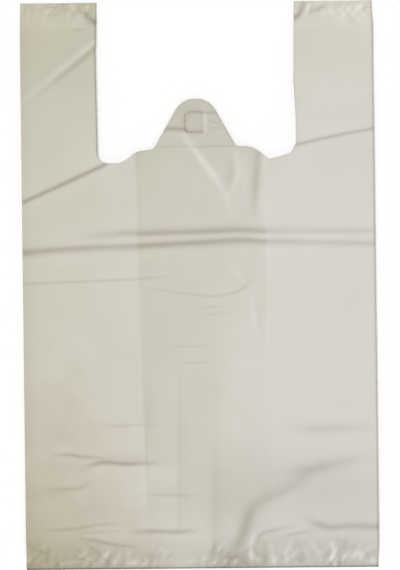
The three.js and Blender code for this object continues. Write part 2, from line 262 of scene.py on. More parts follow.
MIDDLE_CREASES = [
    # Inner gusset folds, which show through the front panel
    Crease([(-47.5, -160, 0.3), (-49, -80, 0.8), (-51.2, 30), (-52, 113)], -0.2, 10, 0, 1.2),
    Crease([(57.8, -75, 0.3), (57.9, 29, 0.8), (56.5, 63), (55, 110)], 0.3, 9, -0.01, 1.2),
    # Pale streaks that fan out from the tab's foot, a highlight painted along their ridges, with a dark
    # hollow between, and the dip beside them
    swell([(30, 54, 0.1), (21, 80, 0.5), (4.7, 104.3), (-11.7, 126.7, 0.8)], 0.5, 6, -0.16, 3),
    swell([(18, 74, 0.3), (-1, 98), (-14, 114, 0.5)], -0.15, 5, 0.02, 2.6),
    swell([(25.8, 74.4, 0.5), (30.4, 83.6), (34.4, 100.2), (32.6, 111.4, 0.4)], 0.3, 5, -0.08, 2.6),
    swell([(26, 82, 0.5), (28.4, 91), (28, 103, 0.4)], -0.3, 4, 0.13, 4),
    swell([(47, 60, 0.4), (49, 85.4), (51.1, 109.5, 0.8)], -0.6, 4, 0.21, 3.4),
    swell([(37, 62, 0.4), (40.5, 85), (42, 106, 0.7)], 0.3, 5, -0.04, 4.4),
    # Fine creases under the main fold
    Crease([(-149, 2.2, 0.9), (-51, 5.6, 0.8), (-25, 7.9, 0.2)], -0.2, 3, 0.11, 1.2, run=1),
    Crease([(-44.7, -2.1, 0.3), (-16.7, -6.7, 0.6), (14.8, -9.5), (34.5, -4.6), (41.4, 1.3, 0.6)],
        -0.3, 4, 0.05, 1.2),
    Crease([(0, -19.6, 0.2), (12, -18.6), (23, -19, 0.2)], -0.2, 3, 0.04, 1.2),
    Crease([(0, -25.6, 0.2), (13, -24.4), (26, -24, 0.2)], -0.2, 3, 0.04, 1.2),
    Crease([(49, -12, 0.3), (50.5, -27), (52, -42, 0.3)], -0.3, 4, 0.07, 2.2),
    swell([(44, -6, 0.3), (45.6, -24), (47, -40, 0.3)], 0.3, 4, -0.06, 2),
    swell([(27, 17, 0.4), (33, 9), (38, 2, 0.5)], 0.4, 4, -0.06, 1.8),
    Crease([(-28, -52.2, 0.3), (-10, -51.6), (7, -51.4, 0.4)], -0.15, 3, 0.04, 1.2),
    Crease([(-19.8, -66.3, 0.4), (-4, -65.6), (11, -65.7, 0.4)], -0.2, 3, 0.03, 1.2),
    # Upright folds down the lower half
    Crease([(-19.6, -206, 0.8), (-18.4, -130), (-18, -60, 0.2)], -0.1, 8, 0.05, 1.9),
    swell([(-14.6, -205, 0.5), (-13.2, -140), (-12.6, -100, 0.2)], -0.05, 6, 0.035, 4.5),
    Crease([(9.4, -230), (10.4, -207), (12.4, -148, 0.8), (15, -110, 0.4), (19, -62, 0.1)],
        -0.1, 8, 0.065, 2.6),
    swell([(14, -230), (15.2, -200, 0.8), (16.6, -160, 0.4)], -0.05, 6, 0.07, 5),
    # The dark patch, the bright one and the line beside the left inner fold
    swell([(-44.6, -80, 0.3), (-43.4, -112), (-44, -130, 0.3)], -0.1, 6, 0.07, 5),
    swell([(-43, -160.4, 0.7), (-30, -161.4), (-22, -162, 0.7)], 0.1, 7, -0.05, 7),
    Crease([(-46, -165, 0.2), (-45.8, -140), (-46.5, -100, 0.2)], -0.1, 3, 0.05, 1),
]

LOWER_CREASES = [
    # Creases above the bottom weld, the left side's first
    Crease([(-86, -117.6, 0.2), (-71, -118.6), (-55, -118, 0.8), (-33, -118.2, 0.3)], -0.25, 4, 0.07, 1.3),
    Crease([(-129, -142.6, 0.1), (-112, -142.8), (-99, -144.8), (-79, -146, 0.2)], -0.5, 5, 0.13, 1.7),
    Crease([(-99, -153.2, 0.1), (-87, -150, 0.9), (-78, -149.6), (-63, -150.9), (-38, -150.3, 0.3)],
        -0.6, 6, 0.27, 2.2),
    swell([(-92, -145.8, 0.3), (-74, -145.4), (-50, -146.4, 0.6)], -0.1, 6, 0.1, 3.6),
    Crease([(-134, -172, 0.3), (-116, -171.7), (-103.5, -171), (-93, -165, 0.2)], -0.35, 6, 0.07, 1.8),
    swell([(-104.5, -174, 0.3), (-102, -182), (-89, -188, 0.2)], 0.35, 5, -0.04, 2.2),
    Crease([(-54, -176.6, 0.3), (-30, -177.4), (-4, -178.2, 0.3)], -0.25, 4, 0.08, 1.4),
    Crease([(-132, -206.6, 0.3), (-115, -206), (-100, -204.4), (-85, -201.8, 0.8), (-66, -201.8, 0.2)],
        -0.4, 4, 0.08, 1.5),
    Crease([(-108, -209.6, 0.3), (-90, -208.4), (-69, -207.6, 0.3)], -0.3, 3, 0.06, 1),
    Crease([(-61, -208.6, 0.2), (-42, -208.2), (-21, -208.8), (-5, -207.8, 0.3)], -0.4, 4, 0.22, 2.3),
    Crease([(74, -122.4, 0.2), (98, -122.6), (122, -122, 0.9), (142, -121.4, 0.5)],
        -0.3, 6, 0.1, 5, run=2.4),
    Crease([(70, -160, 0.2), (87, -157), (101, -154.6), (122, -150.4, 0.8), (142, -147.4, 0.4)],
        -0.35, 8, 0.08, 5.4, run=3),
    Crease([(51, -184.6, 0.3), (63.5, -179.6, 0.6), (78, -172, 0.8), (93, -167, 0.2)],
        -0.3, 6, 0.04, 2.8, run=2),
    Crease([(25, -229, 0.6), (34.8, -210.4), (39.2, -196.8, 0.9), (47, -185.6, 0.5), (63, -175.6, 0.35),
        (80, -166.6, 0.35), (93, -158.4, 0.3), (115.8, -152, 0.1)], -1.1, 9, 0.22, 6, run=4),
    Crease([(90, -200, 0.2), (101, -204.6), (113, -206.2), (129, -205, 0.9), (149, -206.4)],
        -0.6, 5, 0.19, 3.8),
    # Soft dents low on both sides
    swell([(32, -186, 0.9), (62, -172), (100, -174), (148, -184, 0.6)], -0.2, 16, 0.12, 32),
    swell([(-146, -200, 0.6), (-105, -194), (-62, -198, 0.5)], -0.2, 16, 0.05, 18),
    swell([(-146, -136, 0.4), (-120, -129), (-98, -131, 0.2)], -0.4, 9, 0.04, 6),
    swell([(-146, -177, 0.8), (-122, -175), (-96, -172, 0.2)], -0.3, 8, 0.05, 5),
    swell([(-130, -152, 0.5), (-110, -152), (-94, -155, 0.4)], -0.1, 8, 0.05, 5),
]

WELD_CREASES = [
    # Drawn-up film over the bottom weld, roughly left to right
    Crease([(-146, -219.6, 0.4), (-136.4, -225), (-127, -228.4, 0.3)], -0.5, 4, 0.1, 1.3),
    Crease([(-106, -213.2, 0.2), (-91, -215.6), (-74.5, -219.2), (-56, -221.4, 0.3)], -0.6, 5, 0.1, 1.6),
    Crease([(-97, -218.4, 0.3), (-87.3, -228), (-78.5, -236, 0.8)], -0.9, 6, 0.12, 1.8),
    Crease([(-114, -230.2, 0.3), (-100, -231.6), (-95, -237, 0.7)], -0.7, 5, 0.1, 1.5),
    Crease([(-126, -237, 0.8), (-120, -233.4), (-113, -232.6, 0.2)], 0.6, 4, 0.06, 1.5),
    Crease([(-43.9, -238, 0.9), (-43.4, -230), (-44.4, -221, 0.2)], -0.5, 5, 0.1, 2.2),
    ridge([(3, -234.4, 0.3), (18.7, -230.9), (31.5, -232), (38, -236.6, 0.6)], 0.6, 4, 0.06, 1.6),
    ridge([(41.5, -234, 0.5), (41, -222.8), (43.5, -213, 0.5)], 1, 4, -0.2, 2.2),
    swell([(20, -238, 0.6), (26, -231), (38, -234, 0.5)], -0.4, 5, 0.12, 3.6),
    Crease([(46, -224, 0.4), (48.6, -213), (57, -208.8), (74, -205.4, 0.2)], -0.5, 5, 0.08, 1.6),
    ridge([(54.4, -236, 0.7), (53, -226), (52.6, -217, 0.3)], -0.9, 4, 0.1, 1.8),
    ridge([(61, -237, 0.6), (59.4, -229), (58.4, -221, 0.2)], 1, 4, -0.2, 2),
    Crease([(66, -214, 0.3), (79.4, -211.2), (94, -208.4, 0.2)], -0.4, 4, 0.07, 1.2),
    ridge([(72, -237, 0.5), (71, -228), (76, -218, 0.2)], 0.8, 4, -0.15, 1.9),
    ridge([(86.5, -236.6, 0.8), (85, -228), (81, -219, 0.2)], -0.9, 4, 0.1, 2),
    ridge([(100.6, -234, 0.5), (96, -225), (91, -218, 0.2)], 0.9, 4, -0.15, 1.9),
    ridge([(111.8, -237, 0.8), (111, -227), (110, -219, 0.2)], 1.3, 4, -0.3, 2.3),
    ridge([(117, -236.6, 0.6), (118.5, -228), (122, -219, 0.3)], -0.9, 5, 0.1, 2.2),
    swell([(112, -209.8, 0.3), (119, -211.6), (125, -215, 0.3)], 0.5, 4, -0.04, 2),
    # Soft shade under the wrinkles
    swell([(-147, -230), (-100, -226), (-52, -229, 0.6)], -0.2, 10, 0.03, 13),
    swell([(8, -236, 0.8), (24, -235), (48, -233, 0.8)], -0.2, 6, 0.13, 6),
    swell([(48, -224), (88, -221), (132, -224, 0.7)], -0.2, 10, 0.08, 13),
    # Drawn-up film under the handles' welds
    Crease([(-129, 237, 0.4), (-120, 236.6), (-110, 238.6, 0.5)], -0.5, 3, 0.08, 1.2),
    Crease([(-113, 239, 0.9), (-111.6, 234), (-110.4, 229, 0.1)], -0.6, 3, 0.1, 1.4),
    Crease([(-129, 230, 0.3), (-121.3, 229.6), (-113, 230.6, 0.2)], -0.4, 3, 0.08, 1.2),
    Crease([(-93.5, 230.4, 0.6), (-89, 226), (-85.8, 223)], -1, 5, 0.34, 2.8),
    ridge([(-101, 229.4, 0.3), (-95.2, 225.9), (-89, 221.8, 0.5)], 0.8, 4, -0.04, 1.6),
    ridge([(-91, 238, 0.6), (-92.4, 233), (-95, 228, 0.2)], 0.7, 3, 0.05, 1.4),
    Crease([(-107, 217.6, 0.2), (-100, 217), (-93, 217.6, 0.3)], -0.3, 4, 0.05, 1.4),
    Crease([(83.4, 225.4), (88.1, 230.1), (91, 237, 0.7)], -0.8, 4, 0.26, 2.6),
    ridge([(93.2, 238, 0.5), (95, 234), (97.2, 229.6, 0.2)], 0.8, 3, -0.03, 1.3),
    Crease([(97, 230.2, 0.4), (102.3, 232), (107.6, 235.4, 0.8)], -0.7, 4, 0.15, 2),
    ridge([(107.8, 237.4, 0.5), (113, 233.1), (118.6, 229, 0.3)], 0.9, 4, -0.04, 1.6),
    ridge([(117, 235, 0.4), (126.7, 228.7), (134, 222, 0.2)], 0.9, 5, -0.04, 2.2),
    ridge([(131, 237.6, 0.6), (136, 232), (143, 225, 0.2)], -0.5, 4, 0.05, 1.6),
    swell([(118, 236, 0.5), (134, 226), (147, 214, 0.6)], 0.3, 8, -0.05, 8),
    ridge([(127, 231, 0.3), (133, 223), (141, 216, 0.3)], -0.6, 3, 0.07, 1.5),
    ridge([(138, 237, 0.4), (141, 230), (147, 222, 0.4)], 0.7, 3, -0.06, 1.5),
    ridge([(121, 224, 0.2), (128, 219), (133, 211, 0.2)], 0.5, 4, -0.04, 1.8),
    ridge([(-108, 236, 0.4), (-104, 230), (-98, 225, 0.2)], -0.6, 3, 0.08, 1.6),
    ridge([(-100, 238, 0.5), (-98, 233), (-93, 229, 0.4)], -0.6, 3, 0.1, 1.6),
]

TAB_CREASES = [
    # The tear line, the painted shadow that softly frames the hanging hole and the lines round it
    Crease([(-36, 116.6, 0.4), (-16, 117.6, 0.6), (4, 116.8), (20, 117.8), (32, 117, 0.6)],
        -0.15, 1.6, 0.1, 0.8),
    swell([(3.6, 146.2, 0.8), (-4.6, 146.2), (-9.6, 142.6, 0.9), (-10.3, 134), (-8, 129.6), (3.6, 129.5)],
        -0.12, 2.5, 0.17, 1.9),
    swell([(4, 130.5), (4, 145, 0.7)], -0.1, 2, 0.13, 1.3),
    swell([(-33, 127, 0.5), (-22, 133), (-12, 131, 0.8)], -0.2, 4, 0.06, 4),
    Crease([(-29, 132.3, 0.8), (-20, 132.5), (-11.4, 131.8)], -0.35, 3, 0.17, 2),
    Crease([(4.6, 146), (10, 145.9), (17, 145.2, 0.5)], -0.3, 2.5, 0.12, 1),
    Crease([(9, 139.6, 0.6), (14, 138), (20, 136, 0.4)], -0.25, 2.5, 0.08, 0.9),
    Crease([(10, 133.6, 0.5), (16, 132.8), (23, 131.8, 0.4)], -0.2, 2.5, 0.05, 0.9),
    swell([(6.8, 131.5, 0.7), (7, 138), (6.6, 144.4, 0.7)], 0.5, 2.4, -0.15, 1.9),
]

FRONT_CREASES = MIDDLE_CREASES + WELD_CREASES + TAB_CREASES
THROUGH_CREASES = MAIN_FOLD + HANDLE_CREASES + LOWER_CREASES


def smooth(t):
    """0 below 0, 1 above 1 and a smooth rise between."""
    t = np.clip(t, 0.0, 1.0)
    return t * t * (3.0 - 2.0 * t)


def ramp(value, start, end):
    """0 at the start and before it, 1 at the end and past it, and a smooth rise between."""
    return smooth((value - start) / (end - start))


def bell(distance, reach):
    """1 at no distance, falling off on both sides within about twice the reach."""
    return np.exp(-((distance / reach) ** 2))


def curve(path, step):
    """Points about a step apart on a smooth curve through the path's places, share included."""
    places = np.array([(*place, 1)[:3] for place in path], float)
    ends = np.vstack([2 * places[0] - places[1], places, 2 * places[-1] - places[-2]])
    points = []
    for i in range(len(places) - 1):
        a, b, c, d = ends[i:i + 4]
        count = max(1, round(np.hypot(*(c - b)[:2]) / step))
        t = np.arange(count)[:, None] / count
        points.append(0.5 * (2 * b + (c - a) * t + (2 * a - 5 * b + 4 * c - d) * t**2
                             + (3 * b - a - 3 * c + d) * t**3))
    line = np.vstack(points + [places[-1:]])
    line[:, 2] = np.clip(line[:, 2], 0, 1)
    return line


def nearest(points, line):
    """Distance of each point from the line, above zero on its left, and the share at the nearest place."""
    best = np.full(len(points), np.inf)
    side = np.ones(len(points))
    share = np.zeros(len(points))
    for a, b in zip(line[:-1], line[1:]):
        run = b[:2] - a[:2]
        away = points - a[:2]
        t = np.clip(away @ run / (run @ run), 0, 1)
        gap = away - t[:, None] * run
        distance = np.hypot(gap[:, 0], gap[:, 1])
        closer = distance < best
        best = np.where(closer, distance, best)
        cross = run[0] * away[:, 1] - run[1] * away[:, 0]
        side = np.where(closer, np.where(cross < 0, -1.0, 1.0), side)
        share = np.where(closer, a[2] + t * (b[2] - a[2]), share)
    return best * side, share


def relief(points, creases):
    """Height that the creases give the film at these points, and the light painted along them."""
    height = np.zeros(len(points))
    tone = np.zeros(len(points))
    for c in creases:
        line = curve(c.path, CREASE_STEP)
        reach = CREASE_SPAN * max(c.reach, c.shade_width)
        low = line[:, :2].min(0) - reach
        high = line[:, :2].max(0) + reach
        near = np.flatnonzero(np.all((points > low) & (points < high), axis=1))
        if len(near) == 0:
            continue
        d, share = nearest(points[near], line)
        if c.form == "step":
            profile = np.tanh(-d / c.run) * np.exp(-np.abs(d) / c.reach)
        elif c.form == "ridge":
            profile = np.exp(-np.abs(d) / c.reach)
        else:
            profile = np.exp(-0.5 * (d / c.reach) ** 2)
        height[near] += c.rise * share * profile
        tone[near] += c.shade * share * bell(d, c.shade_width)
    return height, tone


def rounded(corners, step):
    """Points along an outline given as corners with radii, about a step apart."""
    stops = [np.array(corners[0][:2])]
    for before, corner, after in zip(corners, corners[1:], corners[2:]):
        at = np.array(corner[:2])
        back = np.array(before[:2]) - at
        ahead = np.array(after[:2]) - at
        size = min(np.hypot(*back), np.hypot(*ahead)) / 2
        back, ahead = back / np.hypot(*back), ahead / np.hypot(*ahead)
        half = math.acos(np.clip(back @ ahead, -1, 1)) / 2
        cut = min(corner[2] / math.tan(half), size)
        start, end = at + back * cut, at + ahead * cut
        for t in np.linspace(0, 1, max(3, round(2 * cut / step) + 1)):
            stops.append((1 - t) ** 2 * start + 2 * t * (1 - t) * at + t**2 * end)
    stops.append(np.array(corners[-1][:2]))
    return resample(stops, step)


def resample(stops, step):
    """The same line with no stretch longer than a step and no two points too close."""
    points = [stops[0]]
    for stop in stops[1:]:
        start = points[-1]
        length = np.hypot(*(stop - start))
        if length < TOUCHING:
            continue
        count = max(1, round(length / step))
        for i in range(1, count + 1):
            points.append(start + (stop - start) * i / count)
    return np.array(points)


def straight(a, b, step):
    """Points from a to b, both included, about a step apart."""
    count = max(1, round(math.dist(a, b) / step))
    return np.linspace(a, b, count + 1)


def inside(points, polygon):
    """Which points lie inside a polygon."""
    x, y = points[:, 0], points[:, 1]
    found = np.zeros(len(points), bool)
    for (ax, ay), (bx, by) in zip(polygon, np.roll(polygon, -1, axis=0)):
        if ay == by:
            continue
        crosses = (ay > y) != (by > y)
        found ^= crosses & (x < (bx - ax) * (y - ay) / (by - ay) + ax)
    return found


SIDE = EDGE - FOLD_REACH
INNER = INNER_FOLD + FOLD_REACH
MOUTH_LINE = rounded(MOUTH, EDGE_STEP)


def panel_outline(step):
    """Outline of the front or back panel, from its lower left corner and anticlockwise."""
    left_top, right_top = MOUTH_LINE[0], MOUTH_LINE[-1]
    runs = [
        straight((-SIDE, -HALF_HEIGHT), (SIDE, -HALF_HEIGHT), step),
        straight((SIDE, -HALF_HEIGHT), (SIDE, HALF_HEIGHT), SIDE_STEP),
        straight((SIDE, HALF_HEIGHT), right_top, step),
        MOUTH_LINE[::-1],
        straight(left_top, (-SIDE, HALF_HEIGHT), step),
        straight((-SIDE, HALF_HEIGHT), (-SIDE, -HALF_HEIGHT), SIDE_STEP),
    ]
    return np.vstack([run[:-1] for run in runs])


def gusset_outline(side, step):
    """Outline of a gusset ply on the right (side 1) or left (side -1)."""
    line = MOUTH_LINE[::-1] if side > 0 else MOUTH_LINE
    past = int(np.argmax(side * line[:, 0] < INNER))
    a, b = line[past - 1], line[past]
    t = (side * INNER - a[0]) / (b[0] - a[0])
    cut = a + t * (b - a)
    runs = [
        straight((side * INNER, -HALF_HEIGHT), (side * SIDE, -HALF_HEIGHT), step),
        straight((side * SIDE, -HALF_HEIGHT), (side * SIDE, HALF_HEIGHT), SIDE_STEP),
        straight((side * SIDE, HALF_HEIGHT), line[0], step),
        np.vstack([line[:past], cut]),
        straight(cut, (side * INNER, -HALF_HEIGHT), SIDE_STEP),
    ]
    return np.vstack([run[:-1] for run in runs])


def hole_cut():
    """The hanging hole's slit: a narrow C round three sides of the flap, open to the right."""
    corners = [
        (HOLE_RIGHT, HOLE_HIGH, 0),
        (HOLE_LEFT, HOLE_HIGH, HOLE_ROUND),
        (HOLE_LEFT, HOLE_LOW, LOW_HOLE_ROUND),
        (HOLE_RIGHT, HOLE_LOW, 0),
    ]
    outer = rounded(corners, HOLE_STEP)
    middle = np.array([(HOLE_LEFT + HOLE_RIGHT) / 2, (HOLE_LOW + HOLE_HIGH) / 2])
    pull = np.sign(middle - outer) * np.minimum(np.abs(middle - outer), SLIT)
    inner = outer + pull
    inner[[0, -1], 0] = outer[[0, -1], 0]
    return np.vstack([outer, inner[::-1]])


def spread(points, least, taken):
    """The points that keep their distance from those already taken and from one another."""
    kept = []
    for p in points:
        cell = (math.floor(p[0] / least), math.floor(p[1] / least))
        around = [taken.get((cell[0] + i, cell[1] + j)) for i in (-1, 0, 1) for j in (-1, 0, 1)]
        if any(q is not None and math.dist(p, q) < least for q in around):
            continue
        taken[cell] = p
        kept.append(p)
    return kept


def rows(creases, step, offsets):
    """Points in rows along the creases, denser across the line than along it."""
    points = []
    for c in creases:
        line = curve(c.path, step)[:, :2]
        run = np.gradient(line, axis=0)
        run /= np.hypot(run[:, 0], run[:, 1])[:, None]
        normal = np.column_stack([-run[:, 1], run[:, 0]])
        scale = max(c.shade_width, LEAST_ROW_SCALE)
        for offset in offsets:
            points.append(line + normal * offset * scale)
    return np.vstack(points)


def filler(step, fine_step):
    """Points of an even net over the panel, closer together by the welds and in the tab."""
    points = []
    for pitch, wanted in ((fine_step, True), (step, False)):
        chance = random.Random(NET_SEED)
        row = 0
        y = -HALF_HEIGHT + pitch / 2
        while y < HALF_HEIGHT:
            x = -HALF_WIDTH + pitch * (0.5 if row % 2 else 1.0)
            while x < HALF_WIDTH:
                tab = FINE_TAB_X[0] < x < FINE_TAB_X[1] and FINE_TAB_Y[0] < y < FINE_TAB_Y[1]
                fine = tab or y < FINE_BOTTOM - HALF_HEIGHT or y > HALF_HEIGHT - FINE_TOP
                if fine == wanted:
                    across = chance.uniform(-NET_SHIFT, NET_SHIFT) * pitch
                    along = chance.uniform(-NET_SHIFT, NET_SHIFT) * pitch
                    points.append((x + across, y + along))
                x += pitch
            y += pitch * math.sqrt(3) / 2
            row += 1
    return np.array(points)


def triangulate(outline, cuts, inner_points, net, gap):
    """Triangles over an outline with cuts in it, through the inner points and then the net's points."""
    loops = [outline, *cuts]
    points = [tuple(p) for loop in loops for p in loop]
    edges = []
    start = 0
    for loop in loops:
        count = len(loop)
        edges += [(start + i, start + (i + 1) % count) for i in range(count)]
        start += count
    taken = {(math.floor(x / LEAST_GAP), math.floor(y / LEAST_GAP)): (x, y) for x, y in points}
    points += spread([tuple(p) for p in inner_points[inside(inner_points, outline)]], LEAST_GAP, taken)
    tree = kdtree.KDTree(len(points))
    for i, (x, y) in enumerate(points):
        tree.insert((x, y, 0), i)
    tree.balance()
    between = net[inside(net, outline)]
    points += [tuple(p) for p in between if tree.find((*p, 0))[2] > gap]
    found = delaunay_2d_cdt([Vector(p) for p in points], edges, [], 0, TOUCHING)
    flat = np.array([tuple(v) for v in found[0]])
    faces = np.array(found[2])
    centres = flat[faces].mean(axis=1)
    keep = inside(centres, outline)
    for cut in cuts:
        keep &= ~inside(centres, cut)
    used, faces = np.unique(faces[keep], return_inverse=True)
    return flat[used], faces.reshape(-1, 3)


def openness(points):
    """How far the plies stand apart: nothing at a weld, all the way a ramp's length from it."""
    return smooth((HALF_HEIGHT - np.abs(points[:, 1])) / WELD_RAMP)


def ripple(points, wide, high, seed):
    """Smooth chance heights, as wide across and along the bag as given."""
    return high * np.array([noise.noise((x / wide[0], y / wide[1], seed)) for x, y in points])


def undulation(points):
    """The film's slow waves, and the small unevenness that handling leaves."""
    return sum(ripple(points, (wide, wide), high, seed) for wide, high, seed in WAVES)


def calm(points):
    """1 in the middle of the calm stretch over the bottom weld, and less away from it."""
    return bell(points[:, 0] - CALM_X, CALM_REACH)


def drawn_up(points):
    """Wrinkles by the welds, large at the bottom and small at the handles' tops: heights and painted light.
    """
    x, y = points[:, 0], points[:, 1]
    off_weld = HALF_HEIGHT - np.abs(y)
    uneven = ripple(np.column_stack([x, 0 * y]), UNEVEN_WIDE, 1.0, UNEVEN_SEED)
    reach = np.where(y < 0, BOTTOM_REACH + BOTTOM_REACH_SWING * uneven, TOP_REACH)
    size = np.where(y < 0, 1 + BOTTOM_SIZE_SWING * uneven, TOP_SIZE)
    size *= 1 - CALM_SHARE * calm(points)
    strength = size * smooth(off_weld / WELD_BAND) * (1 - smooth((off_weld - WELD_BAND) / reach))
    upright = ripple(points, UPRIGHT_WIDE, 1.0, UPRIGHT_SEED)
    slanting = ripple(points @ SLANT, SLANTING_WIDE, 1.0, SLANTING_SEED)
    wrinkles = strength * (WRINKLE_LEVEL - UPRIGHT_SHARE * np.abs(upright) + SLANTING_SHARE * slanting)
    return WRINKLE_HEIGHT * wrinkles, -WRINKLE_PAINTED_LIGHT * wrinkles


def ply_heights(points, level):
    """Heights and painted light of a ply, which never comes closer than the least gap to the one below it.
    """
    x, y = points[:, 0], points[:, 1]
    lift = openness(points)
    height, tone = relief(points, THROUGH_CREASES)
    middle = smooth((MIDDLE_REACH - np.abs(x)) / MIDDLE_REACH)
    crown = CROWN * (1 - ((np.abs(x) - CROWN_X) / CROWN_HALF) ** 2) * (np.abs(x) > INNER_FOLD)
    droop = 1 - TAB_DROOP * ramp(y, *TAB_DROOP_Y) * smooth((INNER_FOLD - np.abs(x)) / TAB_DROOP_SIDE)
    wave = undulation(points)
    z = np.full(len(points), REST_GAP - LEAST_PLY_GAP)
    for rung in range(level + 1):
        share = PLY_SHARES[rung]
        stack = rung * (WELD_GAP + (PLY_GAP - WELD_GAP) * lift)
        loft = MIDDLE_LOFT * middle * rung / FRONT + crown * share
        bumps = height * share * (WELDED_SHARE + (1 - WELDED_SHARE) * lift)
        if rung:
            bumps += wave * share * lift
        if rung == FRONT:
            own_height, own_tone = relief(points, FRONT_CREASES)
            wrinkles, wrinkle_tone = drawn_up(points)
            bumps += own_height * (WELDED_FRONT_SHARE + (1 - WELDED_FRONT_SHARE) * lift) + wrinkles
            tone = tone + own_tone + wrinkle_tone
        own = REST_GAP + (stack + loft * lift) * droop + bumps
        z = np.maximum(own, z + LEAST_PLY_GAP)
    return z, tone


def flap_lift(points):
    """The hanging hole's flap stands a little off the tab at its free end."""
    x, y = points[:, 0], points[:, 1]
    on_flap = (x > HOLE_LEFT + FLAP_INSET) & (x < HOLE_RIGHT)
    on_flap &= (y > HOLE_LOW + FLAP_INSET) & (y < HOLE_HIGH - FLAP_INSET)
    return np.where(on_flap, FLAP_LIFT * (HOLE_RIGHT - x) / (HOLE_RIGHT - HOLE_LEFT), 0)


class Tone(NamedTuple):
    """Light that an edge loses: the share lost on it, and how far from it the tone reaches."""

    share: float
    reach: float

    def line(self, off):
        return self.share * bell(off, self.reach)

    def fade(self, off):
        return self.share * np.exp(-off / self.reach)


# Tone of the bottom weld: its dark line, the weld's own darker film with a painted shadow along the
# bottom edge, fainter to the right, a second line above it, and a soft painted shade that the calm
# stretch has less of
WELD_LINE = Tone(0.62, 1.3)
WELD_LINE_FALL = 0.06
SECOND_LINE = Tone(0.1, 0.8)
SECOND_LINE_OFF = 3.2
WELD_SHADE = Tone(0.13, 20.0)
CALM_SHADE = 0.7

# Tone of the outer folds and the cut edges: a painted shadow line along the right fold, painted shade
# in from the left one, and a dark line on the cut edges, with more painted shadow beside those that face
# right. The cut edges that face right are the left handle's and the right one of the tab
RIGHT_LINE = Tone(0.32, 1.0)
LEFT_SHADE = Tone(0.11, 6.0)
CUT_FACING_RIGHT = 0.12
CUT_ELSEWHERE = 0.08
CUT_REACH = 1.0
LEFT_HANDLE_EDGE = -80.0
TAB_RIGHT_EDGE = (3.0, 36.0)

# Tone of the handles' tops: darker over the drawn-up film, strongest on the left handle's right and on the
# right one's left, a line on the edge, a band below it, and a painted highlight between
LEFT_DRAWN = 0.01
LEFT_DRAWN_GAIN = 0.11
LEFT_DRAWN_X = (-132.0, -108.0)
RIGHT_DRAWN = 0.08
RIGHT_DRAWN_LOSS = 0.04
RIGHT_DRAWN_X = (108.0, 124.0)
DRAWN_REACH = 9.0
TOP_LINE = Tone(0.05, 0.9)
TOP_BAND = Tone(0.06, 7.0)
TOP_BAND_OFF = 15.0
TOP_HIGHLIGHT = Tone(-0.03, 7.0)

# Tone of the handles and the tab as a whole, and the heights between which it sets in or wears off
LEFT_HANDLE = 0.055
LEFT_HANDLE_Y = (150.0, 176.0)
RIGHT_HANDLE = 0.03
RIGHT_HANDLE_Y = (84.0, 114.0)
RIGHT_HANDLE_LOSS = 0.7
RIGHT_HANDLE_LOSS_Y = (140.0, 180.0)
TAB_SHADE = 0.1
TAB_SHADE_Y = (91.2, 123.2)


def weld_tone(points):
    """Light lost by the bottom weld and the film just above it."""
    off = points[:, 1] + HALF_HEIGHT
    line = (1 - WELD_LINE_FALL / WELD_LINE.share * points[:, 0] / HALF_WIDTH) * WELD_LINE.line(off)
    shade = WELD_SHADE.fade(off) * (1 - CALM_SHADE * calm(points))
    return line + SECOND_LINE.line(off - SECOND_LINE_OFF) + shade


def handle_tone(points):
    """Light lost by the handles, most at their tops."""
    x, y = points[:, 0], points[:, 1]
    off = HALF_HEIGHT - y
    left_drawn = LEFT_DRAWN + LEFT_DRAWN_GAIN * ramp(x, *LEFT_DRAWN_X)
    right_drawn = RIGHT_DRAWN - RIGHT_DRAWN_LOSS * ramp(x, *RIGHT_DRAWN_X)
    drawn = np.where(x < 0, left_drawn, right_drawn) * np.exp(-off / DRAWN_REACH)
    top = TOP_LINE.line(off) + TOP_BAND.line(off - TOP_BAND_OFF) + TOP_HIGHLIGHT.line(off)
    left = LEFT_HANDLE * ramp(y, *LEFT_HANDLE_Y)
    right = RIGHT_HANDLE * ramp(y, *RIGHT_HANDLE_Y)
    right *= 1 - RIGHT_HANDLE_LOSS * ramp(y, *RIGHT_HANDLE_LOSS_Y)
    return drawn + top + np.where(x < 0, left, right) * (np.abs(x) > INNER_FOLD)


def edge_tone(points):
    """Light lost by the weld, the handles, the outer folds, the cut edges and the tab."""
    x, y = points[:, 0], points[:, 1]
    sides = RIGHT_LINE.line(EDGE - x) + LEFT_SHADE.fade(EDGE + x)
    mouth, _ = nearest(points, np.column_stack([MOUTH_LINE, np.ones(len(MOUTH_LINE))]))
    tab_right = (x > TAB_RIGHT_EDGE[0]) & (x < TAB_RIGHT_EDGE[1]) & (y > TEAR_Y)
    facing_right = (x < LEFT_HANDLE_EDGE) | tab_right
    cut_edge = np.where(facing_right, CUT_FACING_RIGHT, CUT_ELSEWHERE) * bell(mouth, CUT_REACH)
    tab = TAB_SHADE * ramp(y, *TAB_SHADE_Y) * (np.abs(x) < INNER_FOLD)
    return weld_tone(points) + sides + handle_tone(points) + cut_edge + tab


# Edges of the gusset plies behind the panel: the left one leans, the right one bends above a height
LEFT_FOLD_X = -50.0
LEFT_FOLD_SLOPE = 2.0 / 110.0
RIGHT_FOLD_X = 57.8
RIGHT_FOLD_SLOPE = 2.8 / 70.0
RIGHT_FOLD_BEND_Y = 40.0
BACKING_EDGE = 1.6

# Tone of the single middle, where no gusset plies lie behind it: paler to the right and down, with a paler
# belt on the right, a darker upright strip and a paler foot, each between two heights or places
ACROSS_SHARE = 0.65
LOW_SHARE = 0.15
LOW_Y = (-40.0, -100.0)
BELT_SHARE = 0.4
BELT_TOP_Y = (10.0, -40.0)
BELT_FOOT_Y = (-142.0, -118.0)
BELT_ACROSS = (0.45, 0.8)
STRIP_SHARE = 0.15
STRIP_LEFT_X = (-20.5, -18.5)
STRIP_RIGHT_X = 22.8
STRIP_RIGHT_SLOPE = 0.07
STRIP_RIGHT_WIDE = 3.0
STRIP_FOOT_Y = (-210.0, -185.0)
FOOT_SHARE = 0.55
FOOT_Y = (-180.0, -210.0)


